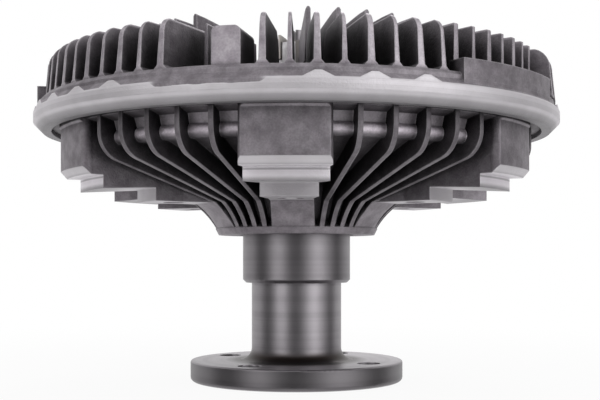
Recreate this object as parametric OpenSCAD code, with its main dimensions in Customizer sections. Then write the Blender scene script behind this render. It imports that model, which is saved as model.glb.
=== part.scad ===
// Viscous fan clutch: a flanged shaft drives a ringed rotor inside a finned housing,
// and fluid let in by a bimetal valve couples the two.
// Origin at the centre of the mounting face, +Z along the shaft, sizes in millimetres.

/* [Mounting flange] */
// Diameter of the mounting flange
flange_d = 103; // [98:0.5:112]
// Thickness of the mounting flange
flange_t = 10; // [9:0.5:14]
// Diameter of the flange's bolt circle
flange_pcd = 80; // [77:0.5:84]
// Diameter of each flange hole
flange_hole_d = 11; // [9:0.5:12]
// Number of flange holes
flange_hole_count = 4; // [3:1:6]
// Diameter of the pilot recess in the mounting face
pilot_d = 40; // [38:0.5:46]
// Depth of the pilot recess
pilot_depth = 6; // [3:0.5:6]

/* [Input shaft] */
// Diameter of the shaft above the flange
shaft_d = 43.6; // [38:0.2:47]
// Length of the plain shaft between flange and collar
shaft_len = 37.5; // [30:0.5:60]
// Radius of the fillet where the shaft leaves the flange
shaft_root_r = 6; // [3:0.5:8]
// Diameter of the spigot that is pressed into the flange
spigot_d = 34; // [24:0.5:36]
// Diameter of the collar under the housing
collar_d = 52.2; // [50:0.2:54]
// Length of the collar
collar_len = 24; // [18:0.5:36]
// Diameter of the seat that the rotor sits on
rotor_seat_d = 24; // [20:0.5:26]
// Diameter of the threaded end
shaft_end_d = 18; // [14:0.5:19]

/* [Bearing] */
// Bore of the bearing
bearing_bore_d = 30; // [28:0.2:32]
// Outside diameter of the bearing
bearing_od = 62; // [60:0.2:64]
// Width of the bearing
bearing_w = 23.8; // [22.4:0.2:30]
// Diameter of each ball
ball_d = 8.4; // [7.4:0.1:8.8]
// Balls in each of the two rows
ball_count = 12; // [8:1:13]

/* [Housing body] */
// Diameter at the foot of the neck
neck_d = 75; // [72:0.5:80]
// Diameter over the fan pads
pad_d = 226; // [220:1:240]
// Diameter over the body's fins
body_fin_d = 224; // [216:1:226]
// Number of fan pads
pad_count = 6; // [6:1:6]
// Width of a pad at its outer face
pad_w = 36.8; // [30:0.2:42]
// Width of the rib that joins a pad to the neck
pad_rib_w = 19.4; // [16:0.2:22]
// Fins between two pads
fins_between_pads = 5; // [3:1:6]
// Thickness of each fin on the body
body_fin_t = 2.2; // [1.6:0.1:3]
// Wall round the working chamber
body_wall = 5.5; // [4:0.5:6.5]
// Diameter over the lowest step of a pad
pad_block_d = 156; // [148:1:164]
// Diameter over the middle step of a pad
pad_step_d = 208; // [196:1:212]
// Diameter of the fan's bolt circle
fan_pcd = 126; // [120:1:132]
// Diameter of each tapped fan hole
fan_hole_d = 8.5; // [6.8:0.1:10.2]
// Depth of each tapped fan hole
fan_hole_depth = 14; // [8:0.5:15]

/* [Rotor] */
// Diameter of the rotor
rotor_d = 196; // [186:1:198]
// Thickness of the rotor disc
rotor_t = 6; // [4:0.5:8]
// Ring lands on the rotor
land_count = 6; // [3:1:6]
// Thickness of each ring land
land_t = 2.6; // [2:0.1:3]
// Height of each ring land
land_h = 7; // [5:0.5:9]
// Gap between a rotor land and its neighbour on the cover
land_gap = 0.6; // [0.4:0.05:0.9]

/* [Cover] */
// Wall thickness of the cover over the lands
cover_t = 5; // [4:0.5:7]
// Radial wall of the rolled ring outside the body's flange
ring_wall = 3.3; // [2.5:0.1:4.5]
// Height of the outer cooling fins
outer_fin_h = 21; // [16:0.5:26]
// Height of the inner cooling fins
inner_fin_h = 24.6; // [18:0.2:30]
// Height of the cover's centre above its outer floor
dome_h = 8; // [6:0.5:10]
// Thickness of a thick fin at its tip
thick_fin_t = 2; // [1.6:0.1:2.8]
// Thickness of a thin fin at its tip
thin_fin_t = 1.2; // [1:0.1:1.8]
// Height of the raised walls on the rim
rim_wall_h = 5.2; // [4:0.2:10]

/* [Valve] */
// Diameter of the valve shaft
valve_shaft_d = 8; // [6:0.2:9]
// Thickness of the coil's strip
strip_t = 1; // [0.8:0.1:1.2]
// Height of the coil's strip
strip_h = 11; // [8:0.5:13]
// Full turns of the coil
coil_turns = 4; // [2:1:4]
// Inner radius of the coil
coil_r = 6.5; // [5.5:0.1:7]
// Gap between turns of the coil
coil_gap = 2; // [1.2:0.1:2.2]

/* [Hidden] */
$fn = 96;

// Fits: a located piece, a running piece, a face gap
fit_gap = 0.03;
running_gap = 0.05;
face_gap = 0.2;
// Overlap of joined solids, and how far a cut runs past a face
eps = 0.01;
cut = 1;

// Shaft heights
collar_z = flange_t + shaft_len;
shoulder_z = collar_z + collar_len;
shoulder_h = 2;
bearing_z = shoulder_z + shoulder_h;
bearing_top = bearing_z + bearing_w;
flange_edge_r = 2.2;
flange_top_r = 1;
journal_relief = 1;
collar_chamfer = 1.5;
shaft_r = shaft_d / 2;
shaft_base_r = shaft_r + shaft_root_r;
shaft_base_t = 1;
collar_r = collar_d / 2;
bearing_bore_r = bearing_bore_d / 2;
bearing_r = bearing_od / 2;
flange_hole_turn = -32.5;

// Bearing rings
pitch_r = (bearing_bore_r + bearing_r) / 2;
ball_r = ball_d / 2;
groove_gap = 0.12;
groove_r = ball_r + groove_gap;
race_land = 2.4;
inner_race_r = pitch_r - race_land;
outer_race_r = pitch_r + race_land;
shoulder_step = 0.6;
shoulder_r = inner_race_r - shoulder_step;
row_gap = 1;
row_z = ball_r + row_gap;
bearing_mid = bearing_z + bearing_w / 2;
seal_t = 1.4;
seal_seat = 0.7;
cage_t = 1.6;
cage_pocket_r = ball_r + face_gap;
cage_edge = 0.6;
cage_h = 2 * (row_z + ball_r + cage_edge);

// Retaining ring
ring_groove_depth = 1.2;
ring_t = 1.6;
ring_w = 4;
ring_z = bearing_top + face_gap;
ring_gap_angle = 24;
ring_land = 1;

// Chamber heights
well_h = 14.7;
well_step = 2;
well_r = bearing_r + well_step;
floor_z = bearing_top + well_h;
rotor_gap = 1;
rotor_z = floor_z + rotor_gap;
rotor_top = rotor_z + rotor_t;
ceiling_z = rotor_top + land_h + rotor_gap;
joint_drop = 3.5;
joint_z = ceiling_z - joint_drop;
chamber_gap = 1.5;
chamber_r = rotor_d / 2 + chamber_gap;

// Rotor hub and its nut
hub_r = 22;
hub_sink = 3;
hub_top = rotor_top - hub_sink;
washer_t = 1.2;
washer_r = 15;
nut_h = 6;
nut_af = 24;
nut_z = hub_top + washer_t;
shaft_end_rise = 1;
shaft_end_z = nut_z + nut_h + shaft_end_rise;
rotor_port_r = 4;
rotor_port_count = 4;

// Body outline
neck_drop = 3;
neck_z = bearing_z - neck_drop;
lip_gap = 1.9;
neck_r = neck_d / 2;
knee_reach = 11.5;
knee_rise = 14.3;
knee_r = neck_r + knee_reach;
knee_z = neck_z + knee_rise;
flare_r = 36;
pad_r = pad_d / 2;
pad_rise = 24.5;
pad_z = neck_z + pad_rise;
step_r = pad_step_d / 2;
step_rise = 20.1;
step_z = neck_z + step_rise;
step_fall = 1.4;
block_r = pad_block_d / 2;
block_z = knee_z;
pad_chamfer = 3.2;
pad_corner_r = 4;
pad_taper_r = 63;
pad_turn = -2.25;
hole_chamfer = 1.5;
body_fin_r = body_fin_d / 2;
fin_slope = 17;
fin_corner_r = 12;
fin_corner_drop = 9;
fin_corner_z = floor_z - fin_corner_drop;
wall_r = chamber_r + body_wall;
dish_drop = 5;
dish_z = floor_z - dish_drop;
dish_hub_r = 47;
dish_hub_drop = 20;
dish_hub_z = floor_z - dish_hub_drop;
bead_r = 3.2;
fin_rise = 1.5;
fin_bury = 0.5;
fin_skew = 2.4;
neck_rim_h = 3;
neck_rim_t = 0.4;
neck_rim_fall = 2.5;
rib_root_r = bearing_r + well_step;

// Joint between body and cover
flange_under = 3.5;
lip_t = 2;
lip_clear = 3.5;
lip_reach = 5;
rim_reach_r = max(pad_r, body_fin_r);
body_flange_r = rim_reach_r + lip_clear + lip_reach;
ring_r = body_flange_r + fit_gap + ring_wall;
flange_bottom = joint_z - flange_under;
lip_z = flange_bottom - lip_t;
pad_lip = 0.8;
pad_top_z = lip_z - pad_lip;
lip_r = rim_reach_r + lip_clear;
seal_section_r = 1.3;
seal_groove_w = 2.9;
seal_r = (chamber_r + body_flange_r) / 2;

// Lands
land_pitch = 2 * (land_t + land_gap);
land_outer = rotor_d / 2 - land_t;

// Cover outline
rim_z = ceiling_z + cover_t;
dome_z = rim_z + dome_h;
ring_band_h = 4;
ring_edge = 4;
rim_inset = 2.6;
rim_r = ring_r - rim_inset;
rim_edge = 1.5;
outer_fin_inset = 5.2;
fin_lean = 1.4;
outer_fin_r = ring_r - outer_fin_inset;
outer_fin_inner_r = 78;
outer_fin_top = rim_z + outer_fin_h;
fin_tip_r = 7;
fin_inner_tip_r = 10;
fin_crest = 0.25;
inner_fin_r = 74;
inner_fin_inner_r = 33;
inner_fin_fall = 6.5;
inner_fin_top = dome_z + inner_fin_h;
roof_step = 2;
roof_step_r = outer_fin_inner_r + roof_step;
fin_turn = 3.77;
fin_count = 72;
half_count = fin_count / 2;
fin_pitch = 360 / fin_count;
fin_foot = 1.8;
fin_sink = 0.3;
fin_draft = 0.45;
fin_tip_slope = 0.45;
reservoir_r = 46;
plate_r = 55;
plate_t = 1.6;
plate_sink = 0.5;
plate_z = ceiling_z + plate_sink;
ledge_z = plate_z + plate_t;
reservoir_roof = 4.5;
reservoir_z = dome_z - reservoir_roof;
boss_r = 11;
boss_h = 10;
boss_top = dome_z + boss_h;

// Cover rim: lugs, raised walls and turned feet of the thick fins
lug_turn = -12.95;
lug_w = 11.6;
lug_h = 15;
lug_top = rim_z + lug_h;
lug_depth = 20;
lug_edge_r = 2.5;
rim_wall_turn = 31.8;
rim_wall_angle = 31.2;
long_wall_angle = 66;
long_wall_rise = 3.4;
rim_wall_inset = 1.2;
rim_wall_r = ring_r - rim_wall_inset;
rim_wall_t = 9;
wall_fin_inset = 5.4;
rim_fin_inset = 2;
rim_fin_r = ring_r - rim_fin_inset;
rim_fin_tip_r = 9;
foot_w = 7.2;
foot_tip_w = 1.4;
foot_root = 3;
foot_inset = 0.2;
foot_rise = 0.9;
foot_h = 4.6;
foot_sink = 1.4;
foot_tip_drop = 3;
foot_z = rim_z - foot_h - foot_sink;
foot_tip_z = rim_z - foot_tip_drop;
short_fin_index = 31;
lug_indices = [32, 33];
rim_fin_indices = [13, 14, 15, 16];
coil_bay_indices = [30, 32, 34];
wall_indices = [6, 12];

// Valve
valve_r = valve_shaft_d / 2;
bush_t = 1.5;
valve_rise = 20;
valve_top = boss_top + valve_rise;
arm_t = 1.5;
arm_z = ledge_z + face_gap;
arm_r = 40;
arm_w = 9;
arm_eye = 3;
port_r = 3;
port_at = 37;
port_turn = -30;
plate_screw_r = 50.5;
plate_screw_count = 4;
screw_shank_r = 1.9;
screw_head_r = 3.3;
screw_head_h = 1.9;
screw_len = 5;
screw_slot_w = 0.9;
screw_tip_gap = 0.5;
coil_lift = 1.5;
coil_z = boss_top + coil_lift;
coil_pitch = strip_t + coil_gap;
coil_end_r = coil_r + coil_turns * coil_pitch;
slot_gap = 0.4;
slot_w = strip_t + slot_gap;
seal_rise = 8;
seal_at = reservoir_z + seal_rise;
valve_seal_r = 0.8;

// Coil bracket, in the bay without inner fins
bay_turn = -16.23;
bracket_t = 1.5;
bracket_reach = 7;
bracket_r = coil_end_r + bracket_reach;
bracket_len = 14;
bracket_w = 14;
bracket_drop = 3;
bracket_top = coil_z + strip_h - bracket_drop;
bracket_screw_at = 3.6;
bracket_screw_edge = 5;

// Angle round the axis, counted from the front of the clutch towards the right
function front(a) = a - 90;

// Middle of the circle of radius r through a and b, on the right of the way from a to b
function arc_centre(a, b, r) =
    let (d = b - a, half = norm(d) / 2, n = [d.y, -d.x] / norm(d))
    (a + b) / 2 + n * sqrt(r * r - half * half);

flare_centre = arc_centre([neck_r, neck_z], [knee_r, knee_z], flare_r);

// Section in radius and height, turned round the axis
module turned(angle = 360) {
    rotate_extrude(angle = angle) children();
}

module band(r0, r1, z0, z1) {
    translate([r0, z0]) square([r1 - r0, z1 - z0]);
}

module at_angle(a, r = 0) {
    rotate([0, 0, front(a)]) translate([r, 0, 0]) children();
}

// Plain drilled hole from z0 up to z1
module hole(r, z0, z1) {
    translate([0, 0, z0]) cylinder(r = r, h = z1 - z0);
}

module drive_flange() {
    flange_r = flange_d / 2;
    color("dimgray")
    difference() {
        turned() {
            band(0, flange_r - flange_edge_r, 0, flange_t);
            band(0, flange_r, flange_edge_r, flange_t - flange_top_r);
            band(0, flange_r - flange_top_r, flange_edge_r, flange_t);
            translate([flange_r - flange_edge_r, flange_edge_r]) circle(flange_edge_r);
            translate([flange_r - flange_top_r, flange_t - flange_top_r]) circle(flange_top_r);
        }
        hole(pilot_d / 2, -cut, pilot_depth);
        hole(spigot_d / 2, pilot_depth - cut, flange_t + cut);
        hole(shaft_base_r + fit_gap, flange_t - shaft_base_t, flange_t + cut);
        for (i = [0 : flange_hole_count - 1])
            at_angle(flange_hole_turn + i * 360 / flange_hole_count, flange_pcd / 2)
                hole(flange_hole_d / 2, -cut, flange_t + cut);
    }
}

// Shaft with its base let into the flange, its collar and its stepped upper end
module input_shaft() {
    color("dimgray")
    turned() {
        band(0, spigot_d / 2 - fit_gap, pilot_depth, flange_t);
        band(0, shaft_base_r, flange_t - shaft_base_t, flange_t);
        band(0, shaft_r, flange_t - eps, collar_z + eps);
        difference() {
            band(0, shaft_base_r, flange_t - eps, flange_t + shaft_root_r);
            translate([shaft_base_r, flange_t + shaft_root_r]) circle(shaft_root_r);
        }
        polygon([
            [0, collar_z], [collar_r - collar_chamfer, collar_z],
            [collar_r, collar_z + collar_chamfer], [collar_r, shoulder_z], [0, shoulder_z]
        ]);
        band(0, shoulder_r, collar_z, bearing_z);
        band(0, bearing_bore_r - fit_gap, collar_z, bearing_top - journal_relief);
        band(0, rotor_seat_d / 2 - fit_gap, collar_z, hub_top - journal_relief);
        band(0, shaft_end_d / 2 - fit_gap, collar_z, shaft_end_z);
    }
}

// The two ball tracks cut into a race
module ball_tracks() {
    for (side = [-1, 1])
        translate([pitch_r, bearing_mid + side * row_z]) circle(groove_r);
}

module bearing_inner_race() {
    color("silver")
    turned()
        difference() {
            band(bearing_bore_r, inner_race_r, bearing_z, bearing_top);
            ball_tracks();
        }
}

module bearing_outer_race() {
    color("silver")
    turned()
        difference() {
            band(outer_race_r, bearing_r - fit_gap, bearing_z, bearing_top);
            ball_tracks();
            for (z = [bearing_z - cut, bearing_top - seal_t])
                band(outer_race_r - cut, outer_race_r + seal_seat, z, z + seal_t + cut);
        }
}

// Each ball of the two staggered rows, placed on its own spot
module each_ball() {
    for (row = [0, 1], i = [0 : ball_count - 1])
        at_angle((i + row / 2) * 360 / ball_count, pitch_r)
            translate([0, 0, bearing_mid + (2 * row - 1) * row_z]) children();
}

module bearing_balls() {
    color("gainsboro") each_ball() sphere(r = ball_r);
}

module bearing_cage() {
    color("peru")
    difference() {
        turned()
            band(pitch_r - cage_t / 2, pitch_r + cage_t / 2,
                bearing_mid - cage_h / 2, bearing_mid + cage_h / 2);
        each_ball() rotate([0, 90, 0]) cylinder(r = cage_pocket_r, h = 4 * cage_t, center = true);
    }
}

module bearing_seal(z) {
    color("black")
    turned() band(inner_race_r + running_gap, outer_race_r + seal_seat - fit_gap, z, z + seal_t);
}

module lower_bearing_seal() { bearing_seal(bearing_z); }

module upper_bearing_seal() { bearing_seal(bearing_top - seal_t); }

module bearing_retaining_ring() {
    color("gray")
    rotate([0, 0, ring_gap_angle / 2])
        turned(360 - ring_gap_angle)
            band(bearing_r + ring_groove_depth - ring_w, bearing_r + ring_groove_depth - face_gap,
                ring_z, ring_z + ring_t);
}

// Plan of one pad: a rib of even width that widens to the rounded outer face
module pad_plan() {
    half = pad_w / 2;
    polygon([
        [bearing_r, -pad_rib_w / 2], [pad_taper_r, -pad_rib_w / 2],
        [pad_r - pad_corner_r, -half], [pad_r - pad_corner_r, half],
        [pad_taper_r, pad_rib_w / 2], [bearing_r, pad_rib_w / 2]
    ]);
    translate([pad_r - 2 * pad_corner_r, pad_corner_r - half])
        square([2 * pad_corner_r + cut, pad_w - 2 * pad_corner_r]);
    for (side = [-1, 1])
        translate([pad_r - pad_corner_r, side * (half - pad_corner_r)]) circle(pad_corner_r);
}

// Section of a rib on the neck, hollow between the foot of the neck and its knee
module neck_flare() {
    difference() {
        band(rib_root_r, knee_r + cut, neck_z, knee_z);
        translate(flare_centre) circle(flare_r);
    }
}

// Section of the pads: three turned steps down to the flared neck
module pad_section() {
    neck_flare();
    difference() {
        polygon([
            [rib_root_r, knee_z], [block_r, block_z], [block_r, step_z], [step_r, step_z - step_fall],
            [step_r, pad_z], [pad_r - pad_chamfer, pad_z], [pad_r, pad_z + pad_chamfer],
            [pad_r, pad_top_z], [pad_r + pad_lip, pad_top_z + pad_lip],
            [pad_r + pad_lip, flange_bottom], [rib_root_r, flange_bottom]
        ]);
        band(0, wall_r - body_wall / 2, floor_z - body_wall / 2, joint_z);
    }
}

// Section of the fins: straight outer edge, round corner, slope in to the flared neck
module body_fin_section() {
    centre = [
        body_fin_r - fin_corner_r,
        fin_corner_z + fin_corner_r * (1 - sin(fin_slope)) / cos(fin_slope)
    ];
    tangent = centre + fin_corner_r * [sin(fin_slope), -cos(fin_slope)];
    neck_flare();
    difference() {
        union() {
            polygon([
                [rib_root_r, knee_z], [knee_r, knee_z], tangent, [body_fin_r, centre.y],
                [body_fin_r, flange_bottom], [rib_root_r, flange_bottom]
            ]);
            translate(centre) circle(fin_corner_r);
        }
        band(0, wall_r - body_wall / 2, floor_z - body_wall / 2, joint_z);
    }
}

// Section of the body between its fins: neck, sloping dish, beaded wall and flange
module body_shell_section() {
    skin_r = neck_r - fin_rise;
    rim_top = neck_z + neck_rim_h;
    flare = flare_centre.x - sqrt(flare_r * flare_r - pow(rim_top - flare_centre.y, 2));
    difference() {
        union() {
            polygon([
                [0, neck_z], [neck_r + neck_rim_t, neck_z], [flare + neck_rim_t, rim_top],
                [skin_r, rim_top + neck_rim_fall],
                [dish_hub_r, dish_hub_z], [wall_r - 2 * bead_r, dish_z],
                [wall_r - bead_r, dish_z], [wall_r, flange_bottom - bead_r],
                [pad_r - fin_rise, flange_bottom - fin_rise], [pad_r - fin_rise, flange_bottom],
                [body_flange_r, flange_bottom], [body_flange_r, joint_z], [0, joint_z]
            ]);
            translate([wall_r - bead_r, dish_z + bead_r]) circle(bead_r);
        }
        band(0, collar_r + lip_gap, neck_z - cut, floor_z);
        band(0, bearing_r, bearing_z, floor_z);
        band(0, bearing_r + ring_groove_depth, ring_z - running_gap, ring_z + ring_t + running_gap);
        band(0, well_r, ring_z + ring_t + ring_land, floor_z + cut);
        band(0, chamber_r, floor_z, joint_z + cut);
        band(seal_r - seal_groove_w / 2, seal_r + seal_groove_w / 2,
            joint_z - 2 * seal_section_r - fit_gap, joint_z + cut);
    }
}

module housing_body() {
    bay = 360 / pad_count;
    span = bay / (fins_between_pads + 3);
    middle = (fins_between_pads - 1) / 2;
    color("slategray")
    difference() {
        union() {
            turned() body_shell_section();
            intersection() {
                turned() pad_section();
                for (p = [0 : pad_count - 1])
                    at_angle(pad_turn + p * bay)
                        translate([0, 0, neck_z - cut]) linear_extrude(joint_z - neck_z) pad_plan();
            }
            intersection() {
                turned() body_fin_section();
                for (p = [0 : pad_count - 1], i = [0 : fins_between_pads - 1])
                    at_angle(pad_turn + (p + 0.5) * bay + (i - middle) * span, body_fin_r)
                        rotate([0, 0, (p % 2 == 0 ? -1 : 1) * fin_skew])
                            translate([-body_fin_r, -body_fin_t / 2, neck_z - cut])
                                cube([body_fin_r + cut, body_fin_t, flange_bottom + fin_bury - neck_z + cut]);
            }
        }
        for (p = [0 : pad_count - 1])
            at_angle(pad_turn + p * bay, fan_pcd / 2) {
                hole(fan_hole_d / 2, block_z - cut, block_z + fan_hole_depth);
                translate([0, 0, block_z - eps])
                    cylinder(r1 = fan_hole_d / 2 + hole_chamfer, r2 = fan_hole_d / 2, h = hole_chamfer);
            }
    }
}

module clutch_rotor() {
    color("lightgray")
    difference() {
        turned() {
            band(0, hub_r, bearing_top + face_gap, hub_top);
            band(0, rotor_d / 2, rotor_z, rotor_top - hub_sink);
            band(hub_r, rotor_d / 2, rotor_z, rotor_top);
            for (i = [0 : land_count - 1])
                band(land_outer - i * land_pitch, land_outer - i * land_pitch + land_t,
                    rotor_top - eps, rotor_top + land_h);
        }
        hole(rotor_seat_d / 2, bearing_top, hub_top - journal_relief);
        hole(shaft_end_d / 2, bearing_top, hub_top + cut);
        for (i = [0 : rotor_port_count - 1])
            at_angle(i * 360 / rotor_port_count, hub_r + 3 * rotor_port_r)
                hole(rotor_port_r, rotor_z - cut, rotor_top + cut);
    }
}

module rotor_washer() {
    color("silver")
    turned() band(shaft_end_d / 2, washer_r, hub_top, nut_z);
}

module rotor_nut() {
    color("gray")
    difference() {
        translate([0, 0, nut_z]) cylinder(d = nut_af / cos(30), h = nut_h, $fn = 6);
        hole(shaft_end_d / 2, nut_z - cut, nut_z + nut_h + cut);
    }
}

// One upright fin: tapered faces and a flared foot, standing on z along the radius
module fin_plate(tip, r0, r1, z, top) {
    root = tip / 2 + fin_draft;
    foot = root + fin_foot;
    edge = top - z - fin_tip_slope * tip;
    translate([r0, 0, z])
        rotate([90, 0, 90])
            linear_extrude(r1 - r0)
                polygon([
                    [-foot, -cut], [foot, -cut], [foot, -fin_sink], [root, fin_foot],
                    [tip / 2, edge], [tip / 5, top - z], [-tip / 5, top - z], [-tip / 2, edge],
                    [-root, fin_foot], [-foot, -fin_sink]
                ]);
}

function is_thick(i) = i % 2 == 0;
function on_wall(i) = i >= wall_indices[0] && i <= wall_indices[1];
function listed(i, indices) = len(search(i, indices)) > 0;

// Section of the outer fins: leaning outer edge and two round upper corners
module fin_profile(r, tip_r) {
    top = outer_fin_top + fin_crest;
    inner_at = outer_fin_inner_r + fin_inner_tip_r;
    outer_at = r - fin_lean - tip_r;
    polygon([
        [outer_fin_inner_r, rim_z - cut], [r, rim_z - cut], [r - fin_lean, top - tip_r],
        [outer_at, top], [inner_at, top], [outer_fin_inner_r, top - fin_inner_tip_r]
    ]);
    translate([inner_at, top - fin_inner_tip_r]) circle(fin_inner_tip_r);
    translate([outer_at, top - tip_r]) circle(tip_r);
}

// One fin of the outer row, out to the radius r
module outer_fin(i, half, r) {
    at_angle(fin_turn + half * 180 + i * fin_pitch)
        fin_plate(is_thick(i) ? thick_fin_t : thin_fin_t, outer_fin_inner_r - cut, r, rim_z, outer_fin_top);
}

// The outer row of fins: thick and thin in turn, with room left for the lugs
module outer_fins() {
    intersection() {
        turned() fin_profile(outer_fin_r, fin_tip_r);
        for (half = [0, 1], i = [0 : half_count - 1])
            if (!listed(i, lug_indices) && !listed(i, rim_fin_indices))
                outer_fin(i, half, i == short_fin_index ? outer_fin_r - lug_depth
                    : on_wall(i) ? outer_fin_r - wall_fin_inset : outer_fin_r + cut);
    }
    intersection() {
        turned() fin_profile(rim_fin_r, rim_fin_tip_r);
        for (half = [0, 1], i = rim_fin_indices) outer_fin(i, half, rim_fin_r + cut);
    }
}

// The inner row: one tall fin behind every thick one, except in the bays for the coil
module inner_fins() {
    intersection() {
        turned()
            polygon([
                [inner_fin_inner_r, rim_z], [inner_fin_r, rim_z], [inner_fin_r, inner_fin_top],
                [inner_fin_inner_r, inner_fin_top - inner_fin_fall]
            ]);
        for (half = [0, 1], i = [0 : 2 : half_count - 1])
            if (!listed(i, coil_bay_indices))
                at_angle(fin_turn + half * 180 + i * fin_pitch)
                    fin_plate(thick_fin_t, inner_fin_inner_r - cut, inner_fin_r + cut, dome_z, inner_fin_top);
    }
}

// A block on the rim with round top edges
module lug(a, w, top) {
    at_angle(a, outer_fin_r - lug_depth)
        rotate([90, 0, 90])
            linear_extrude(lug_depth) {
                band(-w / 2, w / 2, rim_z - cut, top - lug_edge_r);
                band(lug_edge_r - w / 2, w / 2 - lug_edge_r, rim_z, top);
                for (side = [-1, 1])
                    translate([side * (w / 2 - lug_edge_r), top - lug_edge_r]) circle(lug_edge_r);
            }
}

// Feet of the thick fins, turned flush with the ring's upper cone
module fin_feet() {
    intersection() {
        turned()
            polygon([
                [rim_r - foot_root, foot_z], [ring_r - foot_inset, foot_z],
                [rim_r + foot_rise, rim_z], [rim_r - foot_root, rim_z]
            ]);
        for (half = [0, 1], i = [0 : 2 : half_count - 1])
            if (!listed(i, coil_bay_indices) && !on_wall(i))
                at_angle(fin_turn + half * 180 + i * fin_pitch, rim_r - foot_root - cut)
                    rotate([90, 0, 90])
                        linear_extrude(ring_r - rim_r + foot_root + cut)
                            polygon([
                                [-foot_w, foot_z], [foot_w, foot_z],
                                [foot_tip_w, foot_tip_z], [-foot_tip_w, foot_tip_z]
                            ]);
    }
}

// A raised wall along part of the rim
module rim_wall(a, angle, h) {
    rotate([0, 0, front(a)]) turned(angle) band(rim_wall_r - rim_wall_t, rim_wall_r, foot_z, rim_z + h);
}

// Section of the cover: rolled ring, stepped roof, boss, reservoir and ring lands
module cover_section() {
    band_z = lip_z + ring_edge;
    difference() {
        polygon([
            [lip_r, lip_z], [ring_r - ring_edge, lip_z], [ring_r, band_z],
            [ring_r, band_z + ring_band_h], [rim_r, rim_z - foot_h + rim_edge],
            [rim_r, rim_z - rim_edge], [rim_r - rim_edge, rim_z], [roof_step_r, rim_z],
            [inner_fin_r, dome_z], [boss_r, dome_z], [boss_r, boss_top], [0, boss_top], [0, lip_z]
        ]);
        band(0, body_flange_r + fit_gap, flange_bottom, joint_z);
        band(0, lip_r, lip_z - cut, joint_z);
        band(0, chamber_r, lip_z - cut, ceiling_z);
        band(0, plate_r + face_gap, lip_z - cut, ledge_z);
        band(0, reservoir_r, lip_z - cut, reservoir_z);
        band(0, valve_r + bush_t + fit_gap, lip_z - cut, boss_top + cut);
    }
    for (i = [0 : land_count - 2])
        band(land_outer - i * land_pitch - land_gap - land_t, land_outer - i * land_pitch - land_gap,
            rotor_top + rotor_gap, ceiling_z + eps);
}

module cover() {
    color("gray")
    difference() {
        union() {
            turned() cover_section();
            outer_fins();
            inner_fins();
            fin_feet();
            intersection() {
                for (half = [0, 180]) lug(lug_turn + half, lug_w, lug_top);
                hole(outer_fin_r, rim_z - cut, outer_fin_top + cut);
            }
            rim_wall(rim_wall_turn, rim_wall_angle, rim_wall_h);
            rim_wall(rim_wall_turn + 180, long_wall_angle, rim_wall_h + long_wall_rise);
        }
        each_plate_screw() hole(screw_shank_r + fit_gap, plate_z, plate_z + screw_len);
        each_bracket_screw() hole(screw_shank_r + fit_gap, dome_z - screw_len + bracket_t, dome_z + cut);
    }
}

module cover_seal_ring() {
    color("black")
    turned() translate([seal_r, joint_z - seal_section_r - fit_gap / 2]) circle(seal_section_r);
}

module each_plate_screw() {
    for (i = [0 : plate_screw_count - 1])
        at_angle(45 + i * 360 / plate_screw_count, plate_screw_r) children();
}

module each_bracket_screw() {
    for (side = [-1, 1])
        at_angle(bay_turn, bracket_r + bracket_len - bracket_screw_edge)
            translate([0, side * bracket_screw_at, 0]) children();
}

// Slotted pan head screw, its head's seat at z = 0 and its shank along -Z
module pan_screw(shank) {
    difference() {
        union() {
            cylinder(r = screw_head_r, h = screw_head_h);
            translate([0, 0, -shank]) cylinder(r = screw_shank_r, h = shank + eps);
        }
        translate([-screw_head_r, -screw_slot_w / 2, screw_head_h / 2])
            cube([2 * screw_head_r, screw_slot_w, screw_head_h]);
    }
}

module reservoir_plate() {
    color("silver")
    difference() {
        turned() band(0, plate_r, plate_z, ledge_z);
        each_plate_screw() hole(screw_shank_r + fit_gap, plate_z - cut, ledge_z + cut);
        for (half = [0, 180])
            at_angle(port_turn + half, port_at) hole(port_r, plate_z - cut, ledge_z + cut);
    }
}

module plate_screws() {
    color("gray")
    each_plate_screw() translate([0, 0, plate_z]) mirror([0, 0, 1]) pan_screw(screw_len - screw_tip_gap);
}

module valve_bush() {
    color("darkgoldenrod")
    turned() band(valve_r + running_gap, valve_r + bush_t, reservoir_z, boss_top);
}

module valve_shaft() {
    color("dimgray")
    difference() {
        turned()
            difference() {
                band(0, valve_r, arm_z, valve_top);
                translate([valve_r - valve_seal_r + running_gap, seal_at])
                    circle(valve_seal_r + running_gap);
            }
        at_angle(bay_turn)
            translate([-valve_r - cut, -slot_w / 2, coil_z - face_gap])
                cube([2 * (valve_r + cut), slot_w, valve_top - coil_z + cut]);
    }
}

module valve_arm() {
    color("darkgray")
    difference() {
        union() {
            hole(valve_r + arm_eye, arm_z, arm_z + arm_t);
            at_angle(port_turn) translate([0, -arm_w / 2, arm_z]) cube([arm_r - arm_w / 2, arm_w, arm_t]);
            at_angle(port_turn, arm_r - arm_w / 2) hole(arm_w / 2, arm_z, arm_z + arm_t);
        }
        hole(valve_r + fit_gap, arm_z - cut, arm_z + arm_t + cut);
    }
}

module valve_shaft_seal() {
    color("black")
    turned() translate([valve_r - valve_seal_r + running_gap, seal_at]) circle(valve_seal_r - running_gap);
}

// Spiral of half rings, with a tab in the shaft's slot and a leg out to the bracket
module bimetal_coil() {
    color("rosybrown")
    at_angle(bay_turn)
        translate([0, 0, coil_z]) {
            for (i = [0 : coil_turns - 1]) {
                r = coil_r + i * coil_pitch;
                turned(180) band(r, r + strip_t, 0, strip_h);
                translate([coil_pitch / 2, 0, 0])
                    rotate([0, 0, 180])
                        turned(180) band(r + coil_pitch / 2, r + coil_pitch / 2 + strip_t, 0, strip_h);
            }
            translate([-valve_r, -strip_t / 2, 0]) cube([coil_r + valve_r + strip_t / 2, strip_t, strip_h]);
            translate([coil_end_r, -strip_t / 2, 0])
                cube([bracket_r + 2 * bracket_t - coil_end_r, strip_t, strip_h]);
        }
}

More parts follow.
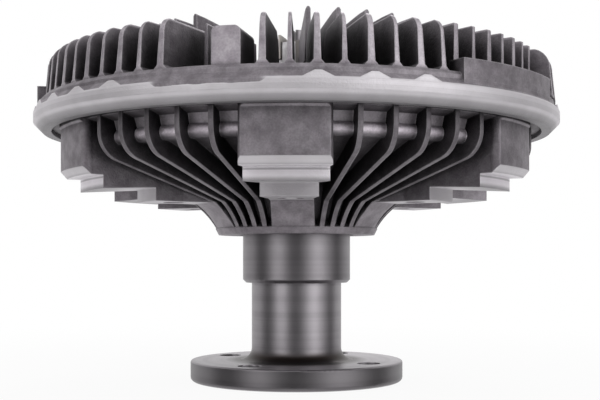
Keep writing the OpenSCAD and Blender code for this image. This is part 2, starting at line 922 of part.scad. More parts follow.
// Stamped bracket: a foot screwed to the cover and an upright with an open slot
module coil_bracket() {
    color("dimgray")
    difference() {
        at_angle(bay_turn, bracket_r) {
            translate([0, -bracket_w / 2, dome_z]) cube([bracket_len, bracket_w, bracket_t]);
            translate([0, -bracket_w / 2, dome_z]) cube([bracket_t, bracket_w, bracket_top - dome_z]);
        }
        at_angle(bay_turn, bracket_r)
            translate([-cut, -slot_w / 2, coil_z - face_gap])
                cube([bracket_t + 2 * cut, slot_w, bracket_top]);
        each_bracket_screw() hole(screw_shank_r + fit_gap, dome_z - cut, dome_z + bracket_t + cut);
    }
}

module bracket_screws() {
    color("gray")
    each_bracket_screw() translate([0, 0, dome_z + bracket_t]) pan_screw(screw_len - screw_tip_gap);
}

drive_flange();
input_shaft();
bearing_inner_race();
bearing_outer_race();
bearing_balls();
bearing_cage();
lower_bearing_seal();
upper_bearing_seal();
bearing_retaining_ring();
housing_body();
clutch_rotor();
rotor_washer();
rotor_nut();
cover();
cover_seal_ring();
reservoir_plate();
plate_screws();
valve_bush();
valve_shaft();
valve_arm();
valve_shaft_seal();
bimetal_coil();
coil_bracket();
bracket_screws();
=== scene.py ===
# Viscous fan clutch: the finish of every piece, the coil split at its joint, and the studio round it.
import math

import bmesh
import bpy
from mathutils import Matrix, Vector


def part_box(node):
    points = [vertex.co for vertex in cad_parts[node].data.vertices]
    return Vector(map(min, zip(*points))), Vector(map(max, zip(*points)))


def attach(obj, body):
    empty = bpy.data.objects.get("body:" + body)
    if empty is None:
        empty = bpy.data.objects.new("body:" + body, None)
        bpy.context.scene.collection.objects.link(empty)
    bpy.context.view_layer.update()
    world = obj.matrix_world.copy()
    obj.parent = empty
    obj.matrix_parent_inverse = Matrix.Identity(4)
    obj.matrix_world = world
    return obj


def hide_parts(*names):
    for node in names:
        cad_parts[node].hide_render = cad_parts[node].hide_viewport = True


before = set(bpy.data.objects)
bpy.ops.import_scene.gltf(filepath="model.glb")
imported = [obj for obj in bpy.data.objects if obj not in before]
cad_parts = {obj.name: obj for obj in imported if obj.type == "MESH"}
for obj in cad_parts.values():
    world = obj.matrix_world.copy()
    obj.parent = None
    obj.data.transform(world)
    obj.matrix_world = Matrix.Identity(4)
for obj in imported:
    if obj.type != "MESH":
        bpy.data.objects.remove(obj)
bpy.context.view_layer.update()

# Input shaft and flange
# A steel shaft with a thicker collar under the housing, pressed into a round mounting flange. Both are
# turned all over, so fine rings run round them. The shaft's root has painted dark brown shade, and the
# flange's top has a painted highlight.


class Value:
    """A socket of a finish. Arithmetic on values adds Math nodes, and | takes the larger of two."""

    def __init__(self, finish, socket):
        self.finish = finish
        self.socket = socket

    def out(self, name):
        """Another output of the same node."""
        return Value(self.finish, self.socket.node.outputs[name])

    def math(self, operation, *others):
        sockets = dict(enumerate((self, *others)))
        return self.finish.node("ShaderNodeMath", {"operation": operation}, sockets)

    def __add__(self, other):
        return self.math("ADD", other)

    def __sub__(self, other):
        return self.math("SUBTRACT", other)

    def __rsub__(self, other):
        return self.finish.node("ShaderNodeMath", {"operation": "SUBTRACT"}, {0: other, 1: self})

    def __mul__(self, other):
        return self.math("MULTIPLY", other)

    def __truediv__(self, other):
        return self.math("DIVIDE", other)

    def __or__(self, other):
        return self.math("MAXIMUM", other)

    def __abs__(self):
        return self.math("ABSOLUTE")

    __radd__ = __add__
    __rmul__ = __mul__

    def span(self, low, high):
        """Low where the value is 0 and high where it is 1, in proportion between."""
        return low + (high - low) * self

    def rise(self, low, high):
        """0 at low and 1 at high, smooth between. It falls where low is above high."""
        sockets = {"Value": self, "From Min": low, "From Max": high}
        return self.finish.node("ShaderNodeMapRange", {"interpolation_type": "SMOOTHSTEP"}, sockets)

    def between(self, low, high, soft):
        """1 from low to high, and 0 beyond, with soft ends."""
        return self.rise(low - soft, low + soft) * self.rise(high + soft, high - soft)


class Finish:
    """A procedural material, read in the piece's own coordinates, in metres."""

    MIX_FIRST, MIX_SECOND, MIX_RESULT = 6, 7, 2  # the Mix node's sockets for colours

    def __init__(self, name):
        self.material = bpy.data.materials.new(name)
        self.material.use_nodes = True
        self.tree = self.material.node_tree
        self.shader = self.tree.nodes["Principled BSDF"]
        self.at = self.node("ShaderNodeTexCoord", out="Object")
        self.x = self.node("ShaderNodeSeparateXYZ", sockets={0: self.at})
        self.y = self.x.out("Y")
        self.z = self.x.out("Z")
        self.r = (self.x * self.x + self.y * self.y).math("SQRT")

    def node(self, kind, settings=None, sockets=None, out=0):
        made = self.tree.nodes.new(kind)
        for name, setting in (settings or {}).items():
            setattr(made, name, setting)
        for name, value in (sockets or {}).items():
            self.feed(made.inputs[name], value)
        return Value(self, made.outputs[out])

    def feed(self, socket, value):
        if isinstance(value, Value):
            self.tree.links.new(value.socket, socket)
        else:
            socket.default_value = value

    def set(self, **sockets):
        """Values of the shader, by socket name with _ for a space."""
        for name, value in sockets.items():
            self.feed(self.shader.inputs[name.replace("_", " ")], value)

    def blend(self, how, share, first, second):
        """The first colour, blended with a share of the second."""
        sockets = {0: share, self.MIX_FIRST: first, self.MIX_SECOND: second}
        settings = {"data_type": "RGBA", "blend_type": how}
        return self.node("ShaderNodeMix", settings, sockets, out=self.MIX_RESULT)

    def mix(self, mask, first, second):
        """The first colour where the mask is 0, the second where it is 1."""
        first, second = (c if isinstance(c, Value) else (*c, 1) for c in (first, second))
        return self.blend("MIX", mask, first, second)

    def dim(self, colour, level):
        """The colour times a level."""
        grey = self.node("ShaderNodeCombineColor", sockets={0: level, 1: level, 2: level})
        return self.blend("MULTIPLY", 1.0, colour, grey)

    def angle_from(self, turn, count):
        """The angle from the nearest of that many even places round the axis, with one at that turn."""
        pitch = 2 * math.pi / count
        angle = self.x.math("ARCTAN2", self.y * -1)
        return (angle - turn + pitch / 2).math("FLOORED_MODULO", pitch) - pitch / 2

    def off_cone(self, r, z, slope):
        """How far outside a cone the point lies. The cone passes r and z and widens by slope with height."""
        return self.r - (r + slope * (self.z - z))

    def mottle(self, size, detail=2.0):
        """Cloudy noise from 0 to 1 whose patches are about that size."""
        sockets = {"Vector": self.at, "Scale": 1 / size, "Detail": detail}
        return self.node("ShaderNodeTexNoise", sockets=sockets)

    def rings(self, size, detail=2.0):
        """Uneven rings round the axis, as a lathe leaves them on faces and cylinders alike."""
        sockets = {"W": self.r + self.z, "Scale": 1 / size, "Detail": detail}
        return self.node("ShaderNodeTexNoise", {"noise_dimensions": "1D"}, sockets)

    def facing(self):
        """How far the face looks out from the axis, round it and up, each from -1 to 1."""
        nx = self.node("ShaderNodeSeparateXYZ", sockets={0: self.node("ShaderNodeTexCoord", out="Normal")})
        ny = nx.out("Y")
        outward = (self.x * nx + self.y * ny) / self.r
        return outward, (self.x * ny - self.y * nx) / self.r, nx.out("Z")

    def soft_edges(self, radius):
        """The normal with every edge rounded to that radius."""
        return self.node("ShaderNodeBevel", {"samples": 6}, {"Radius": radius})

    def edge(self, rounded):
        """0 on faces, rising towards 1 on the edges that the rounded normal turns over."""
        true = self.node("ShaderNodeNewGeometry", out="Normal")
        settings = {"operation": "DOT_PRODUCT"}
        return 1 - self.node("ShaderNodeVectorMath", settings, {0: rounded, 1: true}, out="Value")

    def open_air(self, reach):
        """1 in the open, falling to 0 in corners and gaps narrower than the reach."""
        return self.node("ShaderNodeAmbientOcclusion", {"samples": 8}, {"Distance": reach}, out="AO")

    def bump(self, height, depth, normal=None):
        """The normal over a surface whose relief is that deep."""
        sockets = {"Height": height, "Distance": depth, "Strength": 1.0}
        if normal:
            sockets["Normal"] = normal
        return self.node("ShaderNodeBump", sockets=sockets)


def dress(finish, *nodes):
    """Gives CAD nodes a finish."""
    for node in nodes:
        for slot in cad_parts[node].material_slots:
            slot.material = finish.material


SHAFT_STEEL = (0.285, 0.27, 0.285)
SHAFT_DARK = (0.25, 0.235, 0.25)
ROOT_SHADE_BROWN = (0.03, 0.022, 0.018)
ROOT_SHADE = 0.95
ROOT_TOP = 0.0145
ROOT_R = (0.036, 0.028)
ROOT_SOFT = 0.0025
FLANGE_TOP_HIGHLIGHT = 0.25
FLANGE_SKIN = 0.0006
RIM_DARK = 0.45
RIM_INSET = (0.0012, 0.0004)
RIM_DROP = 0.001
COLLAR_DARK = 0.2
COLLAR_Z = (0.0475, 0.048)
TOOL_BAND = 0.004
TOOL_LINE = 0.0004
TOOL_DEPTH = 0.00001
SHAFT_ROUND = 0.0005
CRISP = 0.0001  # the soft edge of a border that looks sharp

_, flange_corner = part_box("drive_flange")
flange_r, flange_t = flange_corner.x, flange_corner.z
shaft_finish = Finish("turned_shaft_steel")
band = shaft_finish.rings(TOOL_BAND)
line = shaft_finish.rings(TOOL_LINE, detail=3.0)
colour = shaft_finish.mix(band.rise(0.35, 0.7), SHAFT_STEEL, SHAFT_DARK)
colour = shaft_finish.dim(colour, line.span(0.92, 1.08))
rim = shaft_finish.r.rise(*(flange_r - inset for inset in RIM_INSET))
rim = rim * shaft_finish.z.rise(flange_t, flange_t - RIM_DROP)
collar = shaft_finish.z.rise(*COLLAR_Z)
# A painted highlight on the flange's top face.
top = shaft_finish.z.between(flange_t - FLANGE_SKIN, flange_t + FLANGE_SKIN, 2 * CRISP)
colour = shaft_finish.dim(colour, 1 + FLANGE_TOP_HIGHLIGHT * top - RIM_DARK * rim - COLLAR_DARK * collar)
# Painted shade: the shaft's root is darkened brown, standing in for the corner's shade and the flange's
# reflection.
root = shaft_finish.z.between(flange_t - RIM_DROP, ROOT_TOP, ROOT_SOFT) * shaft_finish.r.rise(*ROOT_R)
colour = shaft_finish.mix(root * ROOT_SHADE, colour, ROOT_SHADE_BROWN)
shaft_finish.set(
    Base_Color=colour,
    Metallic=1.0,
    Roughness=line.span(0.32, 0.4) + shaft_finish.mottle(0.012).span(0, 0.1),
    Normal=shaft_finish.bump(line, TOOL_DEPTH, shaft_finish.soft_edges(SHAFT_ROUND)),
)
dress(shaft_finish, "drive_flange", "input_shaft", "valve_shaft")

# Bearing
# A double row ball bearing pressed into the neck of the body: ground steel races, polished balls
# in a brass cage, a rubber seal at each end and a spring steel ring that keeps it in.

RACE_STEEL = (0.62, 0.62, 0.63)
BALL_STEEL = (0.75, 0.75, 0.76)
BRASS = (0.62, 0.42, 0.17)
BRASS_DULL = (0.4, 0.26, 0.1)
RUBBER = (0.018, 0.018, 0.02)
RUBBER_BLOOM = (0.04, 0.04, 0.042)
SPRING_STEEL = (0.2, 0.21, 0.24)
SPRING_BLUE = (0.12, 0.12, 0.14)
GROUND_LINE = 0.0003


def mottled(
    name, light, dark, patch, rough, grain, depth, detail=4.0, contrast=None, rounding=None, metal=1.0
):
    """A finish that drifts in patches between two colours and two roughnesses, with a fine grain."""
    finish = Finish(name)
    cloud = finish.mottle(patch, detail)
    rounded = finish.soft_edges(rounding) if rounding else None
    finish.set(
        Base_Color=finish.mix(cloud.rise(*contrast) if contrast else cloud, light, dark),
        Metallic=metal,
        Roughness=cloud.span(*rough),
        Normal=finish.bump(finish.mottle(grain), depth, rounded),
    )
    return finish


race_finish = Finish("ground_race_steel")
line = race_finish.rings(GROUND_LINE, detail=3.0)
colour = race_finish.mix(race_finish.mottle(0.008), RACE_STEEL, BALL_STEEL)
race_finish.set(
    Base_Color=race_finish.dim(colour, line.span(0.9, 1.1)),
    Metallic=1.0,
    Roughness=line.span(0.2, 0.3),
    Normal=race_finish.bump(line, TOOL_DEPTH),
)
dress(race_finish, "bearing_inner_race", "bearing_outer_race")

ball_finish = Finish("polished_ball_steel")
ball_finish.set(
    Base_Color=ball_finish.mix(ball_finish.mottle(0.003), RACE_STEEL, BALL_STEEL),
    Metallic=1.0,
    Roughness=ball_finish.mottle(0.002).span(0.06, 0.12),
)
dress(ball_finish, "bearing_balls")

brass_finish = mottled(
    "plain_brass",
    BRASS,
    BRASS_DULL,
    patch=0.004,
    contrast=(0.35, 0.7),
    rough=(0.28, 0.48),
    grain=0.0006,
    depth=0.00002,
)
dress(brass_finish, "bearing_cage", "valve_bush")

rubber_finish = mottled(
    "black_seal_rubber",
    RUBBER,
    RUBBER_BLOOM,
    patch=0.005,
    rough=(0.5, 0.75),
    grain=0.0004,
    depth=0.00002,
    metal=0.0,
)
dress(rubber_finish, "lower_bearing_seal", "upper_bearing_seal", "cover_seal_ring", "valve_shaft_seal")

spring_finish = mottled(
    "blued_spring_steel",
    SPRING_STEEL,
    SPRING_BLUE,
    patch=0.01,
    detail=3.0,
    rough=(0.3, 0.45),
    grain=0.0005,
    depth=0.00001,
)
dress(spring_finish, "bearing_retaining_ring", "rotor_washer")

# Housing body
# An aluminium casting that spins on the bearing: a neck, cooling fins that sweep out from it, and
# pads for the fan. The skin is left as cast, and only the steps of the pads are turned bright.

CAST_LIGHT = (0.325, 0.302, 0.325)
CAST_DARK = (0.19, 0.172, 0.19)
CAST_EDGE = (0.6, 0.58, 0.6)
CAST_PATCH = 0.005
CAST_BLOTCH = 0.025
CAST_GRAIN = 0.0008
CAST_DEPTH = 0.00025
CAST_ROUND = 0.0009
GAP_REACH = 0.03
GAP_SHADE = 0.04
TURNED_LIGHT = (0.58, 0.56, 0.585)
TURNED_GREY = (0.5, 0.48, 0.5)
TURNED_LINE = 0.0005
TURNED_PATCH = 0.012
BODY_WEAR = 0.3
PAD_COUNT = 6
PAD_TURN = math.radians(-2.25)
PAD_RIB_HALF = 0.0097
PAD_HALF = 0.0184
PAD_MARGIN = 0.0006
PAD_TAPER_R = 0.063
PAD_CORNER_R = 0.109
PAD_Z = 0.095
PAD_CHAMFER_R = 0.1098
PAD_CHAMFER_SLOPE = 1
PAD_CHAMFER_TOP = 0.0982
PAD_BLOCK_R = (0.0785, 0.079)
BLOCK_BRIGHT = 0.93
SHADOW_LINE_Z = 0.094
SHADOW_LINE_HALF = 0.0007
SHADOW_LINE_DARK = 0.4
CORNER_SHADOW_HALF = 0.0006
CORNER_SHADOW_DARK = 0.3
STEP_EDGE_Z = (0.0892, 0.0917)
STEP_SHADE_TO_LIGHT = (-0.35, 0.45)
NECK_KNEE_R = (0.049, 0.052)
NECK_Z = (0.078, 0.0735)
NECK_SHOWN = 0.6
BEAD_Z = (0.1075, 0.1095)
BEAD_ROLL_Z = (0.113, 0.112)
BEAD_R = (0.1095, 0.1085)
BEAD_HIGHLIGHT = (0.4, 1.7)
FIN_SHADE = 0.72
TOP_SHOWN = 0.9


def as_cast(finish, tone, shown, wear):
    """Colour, roughness and normal of the grey cast skin, worn brighter along its edges.

    Painted shade darkens the skin in gaps and corners, except where shown is near 1.
    """
    rounded = finish.soft_edges(CAST_ROUND)
    cloud = 0.6 * finish.mottle(CAST_PATCH, detail=4.0) + 0.4 * finish.mottle(CAST_BLOTCH, detail=3.0)
    grain = finish.mottle(CAST_GRAIN, detail=3.0)
    colour = finish.mix(cloud.rise(0.3, 0.7), CAST_DARK, CAST_LIGHT)
    colour = finish.dim(colour, tone * grain.span(0.65, 1.35))
    colour = finish.mix(finish.edge(rounded).rise(0.02, 0.3) * wear, colour, CAST_EDGE)
    # Painted shade: the skin darkens in gaps and corners narrower than the reach.
    light = finish.open_air(GAP_REACH).rise(0.1, 0.8).span(GAP_SHADE, 1)
    relief = 0.7 * grain + 0.3 * cloud
    return finish.dim(colour, light | shown), grain.span(0.48, 0.68), finish.bump(relief, CAST_DEPTH, rounded)


def as_turned(finish, light, grey):
    """Colour and roughness of bright turned aluminium."""
    line = finish.rings(TURNED_LINE, detail=3.0)
    patch = finish.mottle(TURNED_PATCH, detail=4.0)
    colour = finish.mix(0.5 * line + 0.5 * patch.rise(0.3, 0.7), light, grey)
    return colour, line.span(0.52, 0.58) + patch.span(0, 0.08)


body_finish = Finish("cast_body_aluminium")
r, z = body_finish.r, body_finish.z
outward, around, up = body_finish.facing()
aside = abs(r * body_finish.angle_from(PAD_TURN, PAD_COUNT).math("SINE"))
taper = ((r - PAD_TAPER_R) / (PAD_CORNER_R - PAD_TAPER_R) | 0.0).math("MINIMUM", 1.0)
in_pad = (taper.span(PAD_RIB_HALF, PAD_HALF) + PAD_MARGIN - aside).rise(-2 * CRISP, 2 * CRISP)
# Painted light on the wall between the fins, strongest as a painted highlight on the bead's roll.
on_bead = z.rise(*BEAD_Z) * outward.rise(0.1, 0.5) * r.rise(*BEAD_R) * (1 - in_pad)
on_neck = z.rise(*NECK_Z)
# Painted shade: the fins are a shade darker than the pads and the neck.
tone = (in_pad | on_neck).span(FIN_SHADE, 1) + on_bead * z.rise(*BEAD_ROLL_Z).span(*BEAD_HIGHLIGHT)
# Where the painted gap shade is lifted: on the bead, partly on the neck, and on up-facing faces.
shown = on_bead | NECK_SHOWN * on_neck | TOP_SHOWN * up.rise(0.3, 0.7)
cast_colour, cast_rough, cast_normal = as_cast(body_finish, tone, shown, BODY_WEAR)

on_chamfer = body_finish.off_cone(PAD_CHAMFER_R, PAD_Z, PAD_CHAMFER_SLOPE).rise(-3 * CRISP, -CRISP)
on_chamfer = on_chamfer * z.rise(PAD_CHAMFER_TOP + 3 * CRISP, PAD_CHAMFER_TOP)
on_steps = z.rise(PAD_Z + 3 * CRISP, PAD_Z + CRISP)
turned = in_pad * abs(around).rise(0.45, 0.25) * (on_chamfer | on_steps) * r.rise(*NECK_KNEE_R)
off_block = r.rise(*PAD_BLOCK_R)
# Painted shadow lines on the turned steps: one across the step, and one where the chamfer meets the step.
shadow_lines = 1 - abs(z - SHADOW_LINE_Z).rise(SHADOW_LINE_HALF, 0) * SHADOW_LINE_DARK
shadow_lines = shadow_lines * (1 - z.between(PAD_Z, PAD_Z + CORNER_SHADOW_HALF, CORNER_SHADOW_HALF) * CORNER_SHADOW_DARK)
# Painted shade at the turned step's lower edge, rising to painted light above it.
bright = off_block.span(BLOCK_BRIGHT, 1) + off_block * on_steps * z.rise(*STEP_EDGE_Z).span(*STEP_SHADE_TO_LIGHT)
turned_colour, turned_rough = as_turned(body_finish, TURNED_LIGHT, TURNED_GREY)
turned_colour = body_finish.dim(turned_colour, bright * shadow_lines)
body_finish.set(
    Base_Color=body_finish.mix(turned, cast_colour, turned_colour),
    Metallic=1.0,
    Roughness=turned.span(cast_rough, turned_rough),
    Normal=cast_normal,
)
dress(body_finish, "housing_body")

# Rotor
# An aluminium disc with ring lands, clamped on the end of the shaft by a washer and a hexagon nut.
# It is turned all over and runs in the fluid, out of sight.

ROTOR_LIGHT = (0.7, 0.7, 0.71)
ROTOR_GREY = (0.52, 0.52, 0.54)
ROTOR_LINE = 0.0006
ROTOR_DEPTH = 0.00002
PLATED_LIGHT = (0.58, 0.57, 0.53)
PLATED_DARK = (0.4, 0.4, 0.37)

rotor_finish = Finish("turned_rotor_aluminium")
rotor_colour, rotor_rough = as_turned(rotor_finish, ROTOR_LIGHT, ROTOR_GREY)
rotor_finish.set(
    Base_Color=rotor_colour,
    Metallic=1.0,
    Roughness=rotor_rough,
    Normal=rotor_finish.bump(rotor_finish.rings(ROTOR_LINE), ROTOR_DEPTH),
)
dress(rotor_finish, "clutch_rotor")

plated_finish = mottled(
    "plated_fastener_steel",
    PLATED_LIGHT,
    PLATED_DARK,
    patch=0.002,
    rough=(0.3, 0.5),
    grain=0.0005,
    depth=0.00001,
    rounding=0.0002,
)
dress(plated_finish, "rotor_nut", "plate_screws", "bracket_screws")

# Cover
# An aluminium casting with two rows of cooling fins. Its outer ring is turned bright, up to the feet
# of the thick fins, and its lower edge is rolled in under the body's flange to hold the two together.

COVER_WEAR = 0.6
GAP_LIGHT = 0.2
FIN_EDGE_R = (0.108, 0.1225)
FIN_EDGE_Z = (0.132, 0.134)
FIN_EDGE_SOFT = 0.0005
FIN_EDGE_TONE = 0.6
TOP_HIGHLIGHT = 0.7
RING_R = (0.115, 0.116)
RING_TOP = 0.1262
RING_SHADE = 0.25
RING_GAINS = {(0.116, 0.1204): 0.45, (0.1198, 0.1213): 0.38, (0.1238, 0.1243): 0.12}  # by span of height
RAGGED_BY = 0.0014
RAGGED_PATCH = 0.008
LOW_DROP = 0.0018
LOW_COUNT = 2
LOW_TURN = math.radians(-16)
LOW_HALF = math.radians(9.5)
LOW_FADE = 0.03
FOOT_R = 0.12463
FOOT_Z = 0.126
FOOT_SLOPE = -0.25
FOOT_TIP = 0.129

cover_finish = Finish("cast_cover_aluminium")
r, z = cover_finish.r, cover_finish.z
outward, _, up = cover_finish.facing()
fin_edge = r.between(*FIN_EDGE_R, FIN_EDGE_SOFT) * z.rise(*FIN_EDGE_Z) * outward.rise(0.6, 0.9)
on_top = up.rise(0.8, 0.93)
# Up-facing faces get a painted highlight.
tone = 1 + FIN_EDGE_TONE * fin_edge + TOP_HIGHLIGHT * on_top
# Painted shade in the cover's gaps, never darker than GAP_LIGHT, and none on up-facing faces.
cast_colour, cast_rough, cast_normal = as_cast(cover_finish, tone, on_top | GAP_LIGHT, COVER_WEAR)

low = abs(cover_finish.angle_from(LOW_TURN, LOW_COUNT)).rise(LOW_HALF + LOW_FADE, LOW_HALF)
on_foot = cover_finish.off_cone(FOOT_R, FOOT_Z, FOOT_SLOPE).rise(-3 * CRISP, -CRISP)
on_foot = on_foot * z.rise(FOOT_TIP + 2 * CRISP, FOOT_TIP) * (1 - low)
ragged = cover_finish.mottle(RAGGED_PATCH, detail=4.0).span(-RAGGED_BY / 2, RAGGED_BY / 2)
on_ring = (z + ragged + LOW_DROP * low).rise(RING_TOP + CRISP, RING_TOP - CRISP) * r.rise(*RING_R)
turned = on_foot | on_ring
turned_colour, turned_rough = as_turned(cover_finish, TURNED_LIGHT, TURNED_GREY)
shade = sum((gain * z.rise(*span) for span, gain in RING_GAINS.items()), RING_SHADE)
turned_colour = cover_finish.dim(turned_colour, shade)
cover_finish.set(
    Base_Color=cover_finish.mix(turned, cast_colour, turned_colour),
    Metallic=1.0,
    Roughness=turned.span(cast_rough, turned_rough),
    Normal=cast_normal,
)
dress(cover_finish, "cover")

# Reservoir and valve
# A stamped steel plate screwed under the cover closes the fluid reservoir. A steel arm on the valve
# shaft uncovers its port, and the shaft turns in a brass bush through the cover.

SHEET_LIGHT = (0.42, 0.41, 0.42)
SHEET_DARK = (0.3, 0.29, 0.3)

sheet_finish = mottled(
    "stamped_sheet_steel",
    SHEET_LIGHT,
    SHEET_DARK,
    patch=0.003,
    contrast=(0.3, 0.7),
    rough=(0.34, 0.52),
    grain=0.0006,
    depth=0.00002,
    rounding=0.0003,
)
dress(sheet_finish, "reservoir_plate", "valve_arm", "coil_bracket")

# Bimetal coil
# A flat spiral of two-metal strip, tinted a dull brown by heat. The leg at its outer end sits in a bracket
# on the cover. The tab at its inner end sits in the valve shaft's slot and turns with it, and the strip
# laps over the tab's arc, which slides along under it as the coil winds.

STRIP_BROWN = (0.34, 0.31, 0.29)
STRIP_GREY = (0.27, 0.26, 0.26)
STRIP_T = 0.001
COIL_TURN = math.radians(-106.23)
COIL_R = 0.0065
COIL_PITCH = 0.003
COIL_HALF_TURNS = 8
COIL_STEP = math.radians(7.5)
COIL_END = COIL_R + COIL_PITCH * COIL_HALF_TURNS / 2
LEG_END = 0.0285
TAB_END = -0.004
LAP_START = math.radians(45)
LAP_END = math.radians(60)
LAP_PLAY = 0.00005
SHARP = math.radians(40)
AXIS = (0, 0, 1)
ORIGIN = (0, 0, 0)

coil_finish = mottled(
    "dull_bimetal_strip",
    STRIP_BROWN,
    STRIP_GREY,
    patch=0.006,
    detail=3.0,
    contrast=(0.3, 0.7),
    rough=(0.38, 0.53),
    grain=0.0005,
    depth=0.00001,
)


def add_object(name, mesh, finish):
    """A new object at the origin, made from a mesh that is then freed."""
    made = bpy.data.meshes.new(name)
    mesh.to_mesh(made)
    mesh.free()
    made.materials.append(finish.material)
    piece = bpy.data.objects.new(name, made)
    bpy.context.scene.collection.objects.link(piece)
    return piece


def across_strip(mesh, low, high, play=0.0):
    """A face across the strip at the coil's inner end, on the x axis."""
    inner, outer = COIL_R + play, COIL_R + STRIP_T - play
    corners = (inner, low + play), (outer, low + play), (outer, high - play), (inner, high - play)
    return mesh.faces.new([mesh.verts.new((x, 0, z)) for x, z in corners])


def last_face(geometry):
    """The face among what an operator says it made."""
    return next(part for part in geometry if isinstance(part, bmesh.types.BMFace))


def draw_out(mesh, face, way):
    """The end of the strip after that face is drawn out."""
    made = bmesh.ops.extrude_face_region(mesh, geom=[face, *face.edges, *face.verts])["geom"]
    bmesh.ops.translate(mesh, verts=last_face(made).verts, vec=way)
    return last_face(made)


def wind_on(mesh, face, centre, angle):
    """The end of the strip after it is wound on round a centre on the x axis."""
    made = bmesh.ops.spin(
        mesh,
        geom=[face, *face.edges, *face.verts],
        cent=(centre, 0, 0),
        axis=AXIS,
        angle=angle,
        steps=math.ceil(angle / COIL_STEP),
    )
    return last_face(made["geom_last"])


def beside(face, way):
    """The face next to this one that lies furthest that way along the x axis."""
    near = [other for edge in face.edges for other in edge.link_faces]
    return max(near, key=lambda other: way * other.calc_center_median().x)


def turn(mesh, angle):
    """Turns a whole mesh round the clutch's axis."""
    bmesh.ops.rotate(mesh, verts=mesh.verts, cent=ORIGIN, matrix=Matrix.Rotation(angle, 3, "Z"))


def add_strip(name, mesh, body):
    """A piece of the coil that rides on a body, smooth round its bends and sharp along its edges."""
    turn(mesh, COIL_TURN)
    bmesh.ops.recalc_face_normals(mesh, faces=mesh.faces)
    for face in mesh.faces:
        face.smooth = True
    for edge in mesh.edges:
        edge.smooth = edge.calc_face_angle(0) < SHARP
    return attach(add_object(name, mesh, coil_finish), body)


coil_low, coil_high = (corner.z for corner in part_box("bimetal_coil"))
mesh = bmesh.new()
end = across_strip(mesh, coil_low, coil_high)
turn(mesh, LAP_START)
end = wind_on(mesh, end, 0, math.pi - LAP_START)
for count in range(1, COIL_HALF_TURNS - 1):
    end = wind_on(mesh, end, count % 2 * COIL_PITCH / 2, math.pi)
end = wind_on(mesh, end, COIL_PITCH / 2, math.pi - STRIP_T / 2 / COIL_END)
end = draw_out(mesh, end, (0, STRIP_T, 0))
draw_out(mesh, beside(end, 1), (LEG_END - COIL_END - STRIP_T, 0, 0))
spiral = add_strip("coil_spiral", mesh, "housing")
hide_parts("bimetal_coil")

mesh = bmesh.new()
end = across_strip(mesh, coil_low, coil_high, LAP_PLAY)
bmesh.ops.translate(mesh, verts=mesh.verts, vec=(0, -STRIP_T / 2, 0))
end = draw_out(mesh, end, (0, STRIP_T, 0))
draw_out(mesh, beside(end, -1), (TAB_END - COIL_R - LAP_PLAY, 0, 0))
wind_on(mesh, end, 0, LAP_END)
add_strip("coil_tab", mesh, "valve")

# Floor
# A plain pale sweep, a hair under the flange. The camera sees it nearly white close to the clutch, where
# a faint shadow shows, and as white as the background far from it.

FLOOR_HALF = 4.0
FLOOR_DROP = 0.0002
FLOOR_PALE = (0.86, 0.86, 0.86)
FLOOR_CLEAR = (0.93, 1.0)
FLOOR_CLEAR_R = (0.1, 0.5)
MATT = 0.9

floor_finish = Finish("pale_floor")
floor_finish.set(Base_Color=(*FLOOR_PALE, 1), Roughness=MATT)
white = floor_finish.node("ShaderNodeEmission", sockets={"Strength": 1.0})
seen = floor_finish.node("ShaderNodeLightPath", out="Is Camera Ray")
clear = floor_finish.r.rise(*FLOOR_CLEAR_R).span(*FLOOR_CLEAR)
lit = floor_finish.node("ShaderNodeMixShader", sockets={0: seen * clear, 2: white})
floor_finish.tree.links.new(floor_finish.shader.outputs[0], lit.socket.node.inputs[1])
floor_finish.tree.links.new(lit.socket, floor_finish.tree.nodes["Material Output"].inputs["Surface"])

mesh = bmesh.new()
bmesh.ops.create_grid(mesh, x_segments=1, y_segments=1, size=FLOOR_HALF)
bmesh.ops.translate(mesh, verts=mesh.verts, vec=(0, 0, -FLOOR_DROP))
floor = add_object("floor", mesh, floor_finish)
floor.visible_glossy = False

# Dark cards
# Upright black cards round the clutch, as a photographer stands them: bare metal shows them as dark
# bands between the bright ones. They cast no shadow and the camera doesn't see them.

CARD_BLACK = (0.02, 0.02, 0.02)
CARD_R = 1.6
CARD_LOW = -0.9
CARD_HIGH = 1.2
CARD_STEP = math.radians(5)
CARD_SPANS = {"left": (-95, -57), "middle": (-24, 18), "right": (78, 109)}  # degrees round from the front

card_finish = Finish("black_card")
card_finish.set(Base_Color=(*CARD_BLACK, 1), Roughness=MATT)
for side, span in CARD_SPANS.items():
    start, end = (math.radians(limit) for limit in span)
    x, y = CARD_R * math.sin(start), -CARD_R * math.cos(start)
    mesh = bmesh.new()
    foot = mesh.verts.new((x, y, CARD_LOW))
    head = mesh.verts.new((x, y, CARD_HIGH))
    bmesh.ops.spin(
        mesh,
        geom=[foot, head, mesh.edges.new((foot, head))],
        cent=ORIGIN,
        axis=AXIS,
        angle=end - start,
        steps=math.ceil((end - start) / CARD_STEP),
    )
    card = add_object(f"{side}_card", mesh, card_finish)
    card.visible_camera = False
    card.visible_diffuse = False
    card.visible_shadow = False

# Lamps and background
# Two tall soft lamps in front, left and right, a third high up behind, and an even white surround. The
# surround lights the clutch less than the camera and the bare metal see it.

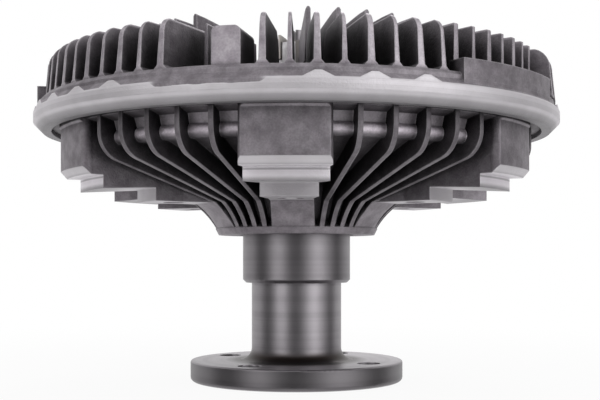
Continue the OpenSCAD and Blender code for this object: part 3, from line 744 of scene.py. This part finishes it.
LAMP_R = 1.5
LAMP_SIZE = (0.7, 1.3)
LAMP_AIM = Vector((0, 0, 0.1))
LAMPS = {  # degrees round from the front, height and watts
    "left_lamp": (-38, 0.45, 4.0),
    "right_lamp": (46, 0.45, 5.7),
    "back_lamp": (170, 1.8, 12.0),
}
SURROUND = 0.55

for name, (heading, height, watts) in LAMPS.items():
    light = bpy.data.lights.new(name, "AREA")
    light.shape = "RECTANGLE"
    light.size, light.size_y = LAMP_SIZE
    light.energy = watts
    lamp = bpy.data.objects.new(name, light)
    lamp.location = Matrix.Rotation(math.radians(heading), 3, "Z") @ Vector((0, -LAMP_R, height))
    lamp.rotation_euler = (LAMP_AIM - lamp.location).to_track_quat("-Z", "Y").to_euler()
    bpy.context.scene.collection.objects.link(lamp)

world = bpy.data.worlds.new("white_surround")
bpy.context.scene.world = world
world.use_nodes = True
nodes, links = world.node_tree.nodes, world.node_tree.links
background = nodes["Background"]
path = nodes.new("ShaderNodeLightPath")
seen = path.outputs["Is Camera Ray"]
for ray in ("Is Glossy Ray", "Is Transmission Ray"):
    either = nodes.new("ShaderNodeMath")
    either.operation = "MAXIMUM"
    links.new(seen, either.inputs[0])
    links.new(path.outputs[ray], either.inputs[1])
    seen = either.outputs[0]
level = nodes.new("ShaderNodeMapRange")
level.inputs["To Min"].default_value = SURROUND
level.inputs["To Max"].default_value = 1.0
links.new(seen, level.inputs["Value"])
links.new(level.outputs[0], background.inputs["Strength"])
background.inputs["Color"].default_value = (1, 1, 1, 1)

# Camera
# Half a metre in front, level with the middle of the shaft and square to it, with the frame shifted up
# to hold the cover.

CAMERA_BACK = 0.511
CAMERA_UP = 0.0584
CAMERA_LENS = 62.76
CAMERA_SENSOR = 36
CAMERA_SHIFT = (0.0058, 0.1)

view = bpy.data.cameras.new("photo_camera")
view.sensor_width = CAMERA_SENSOR
view.lens = CAMERA_LENS
view.shift_x, view.shift_y = CAMERA_SHIFT
camera = bpy.data.objects.new("photo_camera", view)
camera.location = (0, -CAMERA_BACK, CAMERA_UP)
camera.rotation_euler = (math.radians(90), 0, 0)
bpy.context.scene.collection.objects.link(camera)
bpy.context.scene.camera = camera
bpy.context.scene.view_settings.view_transform = "Standard"
